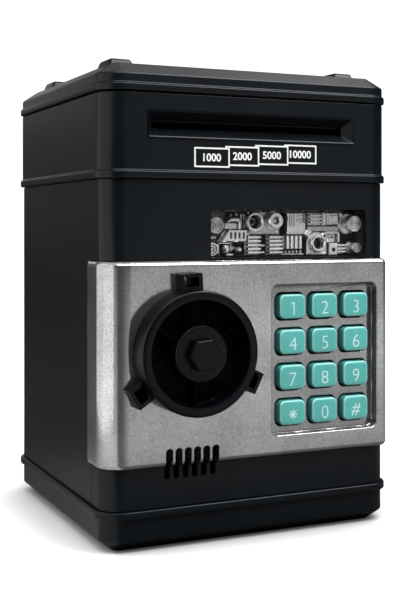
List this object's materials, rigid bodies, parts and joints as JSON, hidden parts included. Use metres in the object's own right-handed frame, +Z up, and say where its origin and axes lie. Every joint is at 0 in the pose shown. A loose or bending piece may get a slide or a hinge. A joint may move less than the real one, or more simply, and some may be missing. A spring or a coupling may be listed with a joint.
{
  "type": "toy cash-machine savings bank",
  "caption": "Toy savings bank shaped like a cash machine, with a hinged safe door, handwheel latch, push-button keypad, display window and motor-fed banknote slot.",
  "frame": {"origin": "centre of the body on the surface it stands on, at the underside of the base tray", "axes": "+Z up; the door, keypad and banknote slot face -Y; +X to the right seen from the front"},
  "size_m": [0.13, 0.1394, 0.19],
  "materials": {
    "shell_black": "satin moulded, near black",
    "inner_black": "matt moulded",
    "door_silver": "satin silver paint with a fine grain",
    "relief_silver": "silver painted",
    "key_teal": "satin moulded",
    "lens_clear": "clear",
    "steel": "plain",
    "board": "solder-mask green",
    "rubber": "matt",
    "nylon": "natural",
    "battery_jacket": "printed sleeve"
  },
  "bodies": {
    "bank": {"base_tray": "shell_black", "battery_cover": "shell_black", "battery_cover_screw": "steel", "battery_1": "battery_jacket", "battery_2": "battery_jacket", "battery_3": "battery_jacket", "contact_strip_left": "steel", "contact_strip_right": "steel", "base_screw_1": "steel", "base_screw_2": "steel", "base_screw_3": "steel", "base_screw_4": "steel", "lower_body": "shell_black", "money_floor": "inner_black", "main_board": "board", "speaker": "inner_black", "window_lens": "lens_clear", "relief_panel": "relief_silver", "display_board": "board", "upper_housing": "shell_black", "feed_frame": "inner_black", "motor": "steel", "top_cover": "shell_black", "coin_chute": "inner_black"},
    "door": {"door_panel": "door_silver", "door_back_cover": "inner_black", "hinge_pin_upper": "steel", "hinge_pin_lower": "steel", "door_screw_1": "steel", "door_screw_2": "steel", "door_screw_3": "steel", "door_screw_4": "steel", "key_mat": "rubber", "key_board": "board", "lock_solenoid": "steel"},
    "wheel": {"handwheel": "shell_black", "hex_cap": "shell_black", "latch_pinion": "nylon"},
    "bolt": {"latch_bolt": "steel"},
    "button_1": {"key_1": "key_teal"},
    "button_2": {"key_2": "key_teal"},
    "button_3": {"key_3": "key_teal"},
    "button_4": {"key_4": "key_teal"},
    "button_5": {"key_5": "key_teal"},
    "button_6": {"key_6": "key_teal"},
    "button_7": {"key_7": "key_teal"},
    "button_8": {"key_8": "key_teal"},
    "button_9": {"key_9": "key_teal"},
    "button_star": {"key_star": "key_teal"},
    "button_0": {"key_0": "key_teal"},
    "button_hash": {"key_hash": "key_teal"},
    "drive_shaft": {"drive_roller": "rubber", "roller_gear": "nylon"},
    "idler_shaft": {"idler_roller": "rubber"},
    "motor_shaft": {"motor_pinion": "nylon"}
  },
  "joints": [
    {"name": "door_hinge", "type": "hinge", "parent": "bank", "child": "door", "pos_m": [0.0562, -0.0581, 0.0714], "axis": [0, 0, 1], "range_deg": [0, 105]},
    {"name": "wheel_turn", "type": "hinge", "parent": "door", "child": "wheel", "pos_m": [-0.0296, -0.0633, 0.076], "axis": [0, -1, 0], "range_deg": [0, 90]},
    {"name": "bolt_slide", "type": "slide", "parent": "door", "child": "bolt", "axis": [-1, 0, 0], "range_m": [0, 0.0079]},
    {"name": "press_1", "type": "slide", "parent": "door", "child": "button_1", "axis": [0, 1, 0], "range_m": [0, 0.0012], "stiffness_N_per_m": 250},
    {"name": "press_2", "type": "slide", "parent": "door", "child": "button_2", "axis": [0, 1, 0], "range_m": [0, 0.0012], "stiffness_N_per_m": 250},
    {"name": "press_3", "type": "slide", "parent": "door", "child": "button_3", "axis": [0, 1, 0], "range_m": [0, 0.0012], "stiffness_N_per_m": 250},
    {"name": "press_4", "type": "slide", "parent": "door", "child": "button_4", "axis": [0, 1, 0], "range_m": [0, 0.0012], "stiffness_N_per_m": 250},
    {"name": "press_5", "type": "slide", "parent": "door", "child": "button_5", "axis": [0, 1, 0], "range_m": [0, 0.0012], "stiffness_N_per_m": 250},
    {"name": "press_6", "type": "slide", "parent": "door", "child": "button_6", "axis": [0, 1, 0], "range_m": [0, 0.0012], "stiffness_N_per_m": 250},
    {"name": "press_7", "type": "slide", "parent": "door", "child": "button_7", "axis": [0, 1, 0], "range_m": [0, 0.0012], "stiffness_N_per_m": 250},
    {"name": "press_8", "type": "slide", "parent": "door", "child": "button_8", "axis": [0, 1, 0], "range_m": [0, 0.0012], "stiffness_N_per_m": 250},
    {"name": "press_9", "type": "slide", "parent": "door", "child": "button_9", "axis": [0, 1, 0], "range_m": [0, 0.0012], "stiffness_N_per_m": 250},
    {"name": "press_star", "type": "slide", "parent": "door", "child": "button_star", "axis": [0, 1, 0], "range_m": [0, 0.0012], "stiffness_N_per_m": 250},
    {"name": "press_0", "type": "slide", "parent": "door", "child": "button_0", "axis": [0, 1, 0], "range_m": [0, 0.0012], "stiffness_N_per_m": 250},
    {"name": "press_hash", "type": "slide", "parent": "door", "child": "button_hash", "axis": [0, 1, 0], "range_m": [0, 0.0012], "stiffness_N_per_m": 250},
    {"name": "roller_spin", "type": "hinge", "parent": "bank", "child": "drive_shaft", "pos_m": [0, -0.038, 0.1574], "axis": [1, 0, 0], "continuous": true},
    {"name": "idler_spin", "type": "hinge", "parent": "bank", "child": "idler_shaft", "pos_m": [0, -0.038, 0.1677], "axis": [1, 0, 0], "continuous": true},
    {"name": "motor_spin", "type": "hinge", "parent": "bank", "child": "motor_shaft", "pos_m": [0.0499, -0.02015, 0.1509], "axis": [1, 0, 0], "continuous": true}
  ],
  "couplings": [
    {"joint": "bolt_slide", "follows": "wheel_turn", "m_per_rad": 0.005},
    {"joint": "motor_spin", "follows": "roller_spin", "ratio": -2.8},
    {"joint": "idler_spin", "follows": "roller_spin", "ratio": -1.5}
  ]
}
